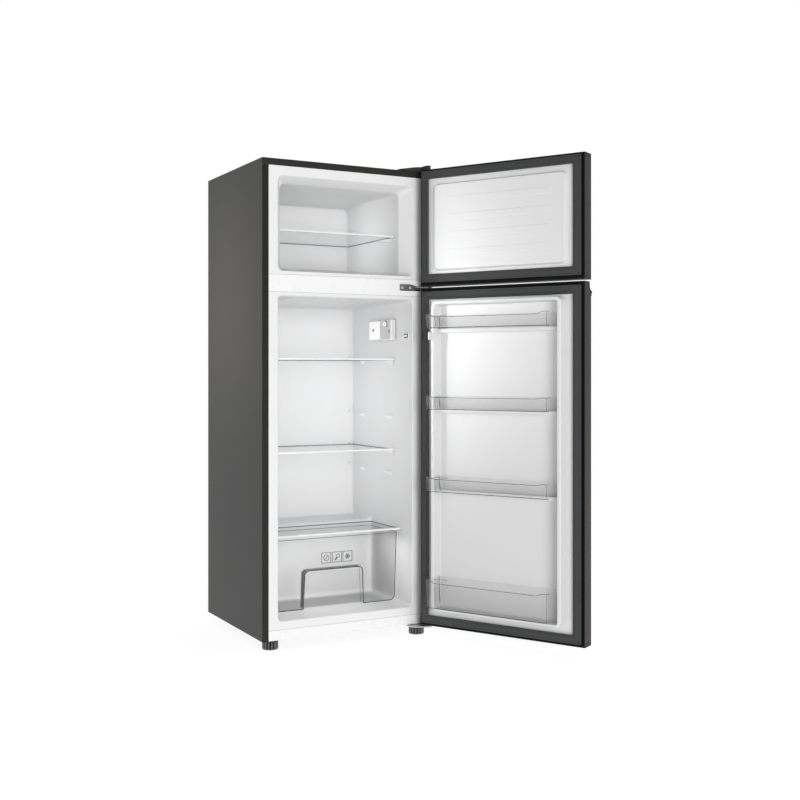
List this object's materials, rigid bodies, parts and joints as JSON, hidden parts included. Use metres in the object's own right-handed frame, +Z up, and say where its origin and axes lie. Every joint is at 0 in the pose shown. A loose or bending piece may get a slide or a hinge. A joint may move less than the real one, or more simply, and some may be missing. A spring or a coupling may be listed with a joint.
{
  "type": "top freezer refrigerator",
  "caption": "Upright two-door fridge-freezer, freezer on top, graphite steel body, white liner, right-hinged doors standing open, glass shelves, clear drawer and door bins.",
  "frame": {"origin": "on the floor, under the middle of the whole refrigerator with its doors standing open", "axes": "+Z up, +Y from the doors' side to the back, +X towards the hinge side"},
  "size_m": [0.8159, 0.9912, 1.4535],
  "materials": {
    "steel_skin": "satin",
    "steel_back": "satin",
    "black_steel": "satin",
    "zinc_plate": "satin",
    "hinge_steel": "polished",
    "copper": "satin",
    "white_liner": "gloss",
    "white_trim": "satin",
    "foam": "matte",
    "dark_plastic": "satin",
    "grey_plastic": "satin",
    "black_plastic": "matte",
    "black_rubber": "matte",
    "gasket": "matte",
    "clear_plastic": "gloss",
    "shelf_glass": "gloss"
  },
  "bodies": {
    "cabinet": {"side_panel_left": "steel_skin", "side_panel_right": "steel_skin", "top_cover": "steel_skin", "back_panel": "steel_back", "base_plate": "black_steel", "bay_plate": "zinc_plate", "fridge_liner": "white_liner", "freezer_liner": "white_liner", "cabinet_foam": "foam", "divider_cover": "white_trim", "bottom_beam": "white_trim", "thermostat_housing": "white_trim", "thermostat_cover": "grey_plastic", "door_switch_housing": "white_trim", "compressor": "black_steel", "compressor_grommet_1": "black_rubber", "compressor_grommet_2": "black_rubber", "compressor_grommet_3": "black_rubber", "compressor_grommet_4": "black_rubber", "drip_tray": "black_plastic", "discharge_pipe": "copper", "suction_pipe": "copper", "power_inlet": "black_plastic", "roller_left_bracket": "zinc_plate", "roller_right_bracket": "zinc_plate", "top_hinge": "zinc_plate", "top_hinge_cover": "dark_plastic", "middle_hinge": "hinge_steel", "bottom_hinge": "zinc_plate"},
    "freezer_door": {"freezer_door_shell": "steel_skin", "freezer_door_cap_top": "dark_plastic", "freezer_door_cap_bottom": "dark_plastic", "freezer_door_foam": "foam", "freezer_door_liner": "white_liner", "freezer_door_gasket": "gasket"},
    "fridge_door": {"fridge_door_shell": "steel_skin", "fridge_door_cap_top": "dark_plastic", "fridge_door_cap_bottom": "dark_plastic", "fridge_door_foam": "foam", "fridge_door_liner": "white_liner", "fridge_door_gasket": "gasket"},
    "door_bin_1": {"bin_1": "clear_plastic"},
    "door_bin_2": {"bin_2": "clear_plastic"},
    "door_bin_3": {"bin_3": "clear_plastic"},
    "door_bin_4": {"bin_4": "clear_plastic"},
    "upper_shelf": {"shelf_upper_glass": "shelf_glass", "shelf_upper_trim": "white_trim"},
    "lower_shelf": {"shelf_lower_glass": "shelf_glass", "shelf_lower_trim": "white_trim"},
    "crisper_cover": {"crisper_cover_glass": "shelf_glass", "crisper_cover_trim": "white_trim"},
    "freezer_shelf": {"freezer_shelf_glass": "shelf_glass", "freezer_shelf_trim": "white_trim"},
    "crisper_drawer": {"crisper_drawer": "clear_plastic"},
    "thermostat_knob": {"thermostat_knob": "grey_plastic"},
    "door_switch_button": {"door_switch_button": "grey_plastic"},
    "left_foot": {"foot_left": "grey_plastic"},
    "right_foot": {"foot_right": "grey_plastic"},
    "left_roller": {"roller_left": "black_plastic"},
    "right_roller": {"roller_right": "black_plastic"}
  },
  "joints": [
    {"name": "freezer_door_hinge", "type": "hinge", "parent": "cabinet", "child": "freezer_door", "pos_m": [0.12973, -0.01338, 1.259], "axis": [0, 0, 1], "range_deg": [-118, 7]},
    {"name": "fridge_door_hinge", "type": "hinge", "parent": "cabinet", "child": "fridge_door", "pos_m": [0.12973, -0.01338, 0.549], "axis": [0, 0, 1], "range_deg": [-118, 7]},
    {"name": "door_bin_1_lift", "type": "slide", "parent": "fridge_door", "child": "door_bin_1", "axis": [0, 0, 1], "range_m": [0, 0.022]},
    {"name": "door_bin_2_lift", "type": "slide", "parent": "fridge_door", "child": "door_bin_2", "axis": [0, 0, 1], "range_m": [0, 0.022]},
    {"name": "door_bin_3_lift", "type": "slide", "parent": "fridge_door", "child": "door_bin_3", "axis": [0, 0, 1], "range_m": [0, 0.022]},
    {"name": "door_bin_4_lift", "type": "slide", "parent": "fridge_door", "child": "door_bin_4", "axis": [0, 0, 1], "range_m": [0, 0.022]},
    {"name": "upper_shelf_slide", "type": "slide", "parent": "cabinet", "child": "upper_shelf", "axis": [0, -1, 0], "range_m": [0, 0.15]},
    {"name": "lower_shelf_slide", "type": "slide", "parent": "cabinet", "child": "lower_shelf", "axis": [0, -1, 0], "range_m": [0, 0.15]},
    {"name": "crisper_cover_slide", "type": "slide", "parent": "cabinet", "child": "crisper_cover", "axis": [0, -1, 0], "range_m": [0, 0.1]},
    {"name": "freezer_shelf_slide", "type": "slide", "parent": "cabinet", "child": "freezer_shelf", "axis": [0, -1, 0], "range_m": [0, 0.15]},
    {"name": "crisper_drawer_slide", "type": "slide", "parent": "cabinet", "child": "crisper_drawer", "axis": [0, -1, 0], "range_m": [0, 0.15]},
    {"name": "thermostat_turn", "type": "hinge", "parent": "cabinet", "child": "thermostat_knob", "pos_m": [0.04923, 0.13562, 0.968], "axis": [-1, 0, 0], "range_deg": [0, 270]},
    {"name": "door_switch_press", "type": "slide", "parent": "cabinet", "child": "door_switch_button", "axis": [-1, 0, 0], "range_m": [-0.0028, 0], "stiffness_N_per_m": 200, "springref_m": 0.002},
    {"name": "left_foot_turn", "type": "hinge", "parent": "cabinet", "child": "left_foot", "pos_m": [-0.36977, 0.04762, 0], "axis": [0, 0, 1], "continuous": true},
    {"name": "right_foot_turn", "type": "hinge", "parent": "cabinet", "child": "right_foot", "pos_m": [0.10623, 0.01762, 0], "axis": [0, 0, 1], "continuous": true},
    {"name": "left_roller_spin", "type": "hinge", "parent": "cabinet", "child": "left_roller", "pos_m": [-0.32177, 0.45762, 0.0135], "axis": [1, 0, 0], "continuous": true},
    {"name": "right_roller_spin", "type": "hinge", "parent": "cabinet", "child": "right_roller", "pos_m": [0.05823, 0.45762, 0.0135], "axis": [1, 0, 0], "continuous": true}
  ]
}
